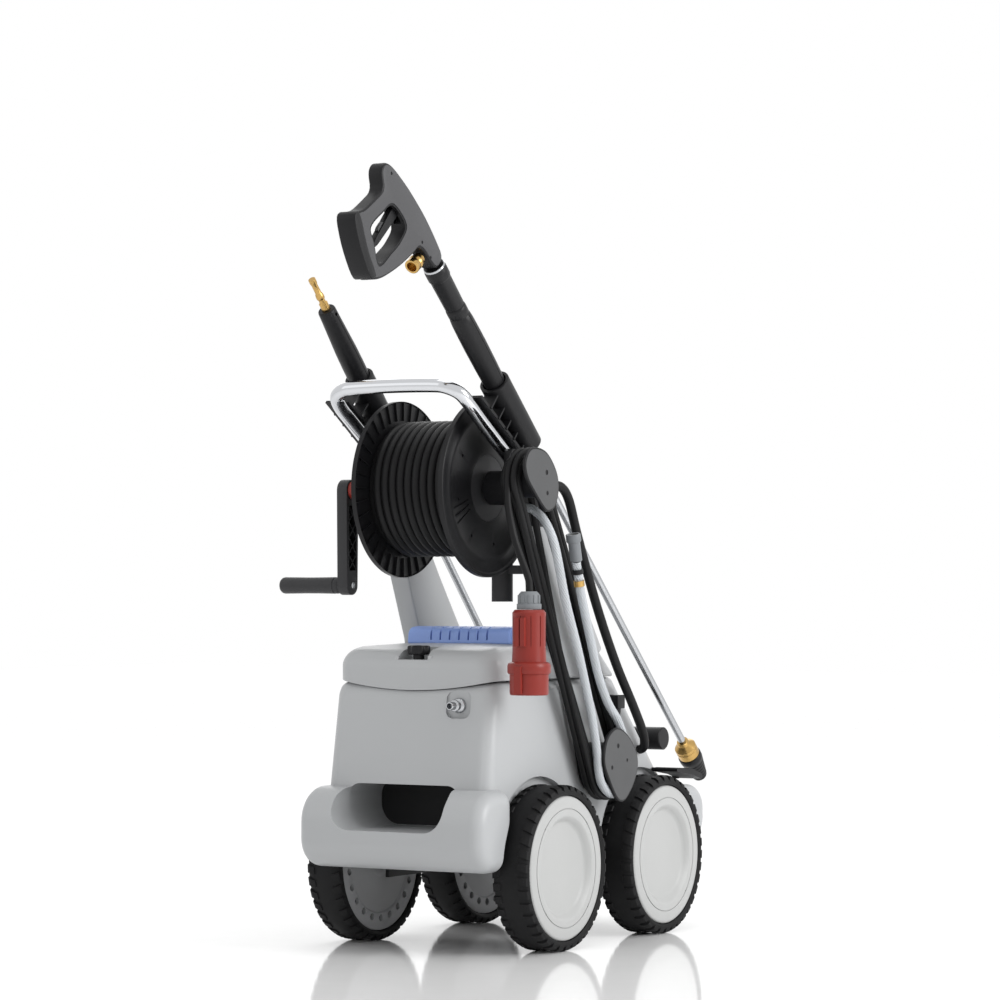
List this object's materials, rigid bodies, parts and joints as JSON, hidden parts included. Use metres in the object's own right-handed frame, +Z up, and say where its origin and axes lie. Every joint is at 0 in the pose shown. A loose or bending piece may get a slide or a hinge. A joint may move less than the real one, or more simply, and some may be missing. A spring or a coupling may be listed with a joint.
{
  "type": "pressure washer",
  "caption": "Wheeled pressure washer with a crank hose reel, a trigger gun and lance, a second lance, a push handle, a storage mouth and a cable hank with an industrial plug.",
  "frame": {"origin": "on the floor, under the middle of the bounding box of everything but the free cord and hose", "axes": "+X towards the cable hooks' side, -Y the front with the storage compartment and the gun, +Z up"},
  "size_m": [0.5465, 1.1237, 1.1953],
  "materials": {
    "shell_grey": "satin",
    "black_plastic": "satin",
    "dark_grey_plastic": "satin",
    "gun_grey": "satin",
    "wheel_white": "satin",
    "tyre_black": "matt",
    "cable_rubber": "matt",
    "chrome_tube": "polished",
    "steel": "brushed",
    "black_steel": "semi-gloss",
    "brass": "bright",
    "blue_grip": "satin",
    "red_plastic": "satin",
    "plug_grey": "satin",
    "clear_hose": "clear, with a braid",
    "cast_aluminium": "as cast"
  },
  "bodies": {
    "machine": {"tub_shell": "shell_grey", "rear_tower": "shell_grey", "rear_bar": "black_plastic", "reel_bracket_right": "black_plastic", "reel_bracket_left": "black_plastic", "lance_holder_right": "black_plastic", "lance_holder_left": "black_plastic", "cable_hook_lower": "black_plastic", "cable_gland": "black_plastic", "nozzle_quiver": "dark_grey_plastic", "chassis": "black_steel", "axle_front": "steel", "axle_rear": "steel", "water_inlet": "steel", "pressure_gauge": "steel", "push_handle": "chrome_tube", "cable_hank": "cable_rubber", "cable_lead": "cable_rubber", "cable_tail": "cable_rubber", "supply_hose": "cable_rubber", "plug_gland": "plug_grey", "hose_coupling": "plug_grey", "plug_body": "red_plastic", "suction_hose": "clear_hose", "water_tank": "clear_hose", "motor": "cast_aluminium", "pump": "cast_aluminium"},
    "wheel_front_left": {"tyre_front_left": "tyre_black", "rim_front_left": "wheel_white"},
    "wheel_front_right": {"tyre_front_right": "tyre_black", "rim_front_right": "wheel_white"},
    "wheel_rear_left": {"tyre_rear_left": "tyre_black", "rim_rear_left": "wheel_white"},
    "wheel_rear_right": {"tyre_rear_right": "tyre_black", "rim_rear_right": "wheel_white"},
    "reel": {"reel_core": "dark_grey_plastic", "reel_flange_right": "black_plastic", "reel_flange_left": "black_plastic", "hose_coil": "cable_rubber", "crank_arm": "dark_grey_plastic"},
    "crank_handle": {"crank_grip": "dark_grey_plastic"},
    "gun_and_lance": {"gun_housing": "gun_grey", "gun_inlet": "brass", "lance_sleeve": "black_plastic", "lance_grip": "black_plastic", "lance_tube": "steel", "lance_nozzle": "brass"},
    "trigger": {"trigger": "black_plastic"},
    "latch": {"safety_latch": "dark_grey_plastic"},
    "second_lance": {"left_nipple": "brass", "left_grip": "black_plastic", "left_tube": "steel"},
    "upper_hook": {"cable_hook_upper": "black_plastic"},
    "lid": {"lid": "shell_grey", "lid_grip": "blue_grip"},
    "star_knob": {"lid_knob": "black_plastic"},
    "pedal": {"brake_pedal": "black_plastic"},
    "switch": {"main_switch": "black_plastic"},
    "needle": {"gauge_needle": "red_plastic"},
    "fan": {"motor_fan": "dark_grey_plastic"}
  },
  "joints": [
    {"name": "wheel_front_left_spin", "type": "hinge", "parent": "machine", "child": "wheel_front_left", "pos_m": [-0.1192, -0.0451, 0.13], "axis": [1, 0, 0], "continuous": true},
    {"name": "wheel_front_right_spin", "type": "hinge", "parent": "machine", "child": "wheel_front_right", "pos_m": [0.2228, -0.0451, 0.13], "axis": [1, 0, 0], "continuous": true},
    {"name": "wheel_rear_left_spin", "type": "hinge", "parent": "machine", "child": "wheel_rear_left", "pos_m": [-0.1192, 0.2879, 0.13], "axis": [1, 0, 0], "continuous": true},
    {"name": "wheel_rear_right_spin", "type": "hinge", "parent": "machine", "child": "wheel_rear_right", "pos_m": [0.2228, 0.2879, 0.13], "axis": [1, 0, 0], "continuous": true},
    {"name": "reel_spin", "type": "hinge", "parent": "machine", "child": "reel", "pos_m": [0.0518, -0.0856, 0.725], "axis": [1, 0, 0], "continuous": true},
    {"name": "crank_handle_spin", "type": "hinge", "parent": "reel", "child": "crank_handle", "pos_m": [-0.1882, -0.0856, 0.572], "axis": [1, 0, 0], "continuous": true},
    {"name": "gun_and_lance_slide", "type": "slide", "parent": "machine", "child": "gun_and_lance", "axis": [0, -0.7325, 0.6807], "range_m": [0, 0.25]},
    {"name": "trigger_pull", "type": "hinge", "parent": "gun_and_lance", "child": "trigger", "pos_m": [0.1768, -0.42495, 1.1325], "axis": [1, 0, 0], "range_deg": [-10, 0], "stiffness_Nm_per_rad": 0.15},
    {"name": "latch_turn", "type": "hinge", "parent": "trigger", "child": "latch", "pos_m": [0.1768, -0.46359, 1.10561], "axis": [1, 0, 0], "range_deg": [-25, 0]},
    {"name": "second_lance_slide", "type": "slide", "parent": "machine", "child": "second_lance", "axis": [0, -0.6794, 0.7337], "range_m": [0, 0.25]},
    {"name": "upper_hook_turn", "type": "hinge", "parent": "machine", "child": "upper_hook", "pos_m": [0.2418, -0.1256, 0.735], "axis": [1, 0, 0], "range_deg": [0, 180]},
    {"name": "lid_open", "type": "hinge", "parent": "machine", "child": "lid", "pos_m": [0.0518, 0.0229, 0.48], "axis": [1, 0, 0], "range_deg": [-30, 0]},
    {"name": "star_knob_turn", "type": "hinge", "parent": "lid", "child": "star_knob", "pos_m": [0.0518, -0.1596, 0.47], "axis": [0, 0, 1], "continuous": true},
    {"name": "pedal_lift", "type": "hinge", "parent": "machine", "child": "pedal", "pos_m": [0.2268, 0.4064, 0.2535], "axis": [1, 0, 0], "range_deg": [-20, 0]},
    {"name": "switch_turn", "type": "hinge", "parent": "machine", "child": "switch", "pos_m": [0.1068, 0.18315, 0.44895], "axis": [0, 0.6194, 0.7851], "range_deg": [0, 90]},
    {"name": "needle_turn", "type": "hinge", "parent": "machine", "child": "needle", "pos_m": [0.0018, 0.18315, 0.44895], "axis": [0, 0.6194, 0.7851], "range_deg": [-240, 0], "stiffness_Nm_per_rad": 0.0005},
    {"name": "fan_spin", "type": "hinge", "parent": "machine", "child": "fan", "pos_m": [0.0518, 0.2864, 0.262], "axis": [0, 1, 0], "continuous": true}
  ]
}
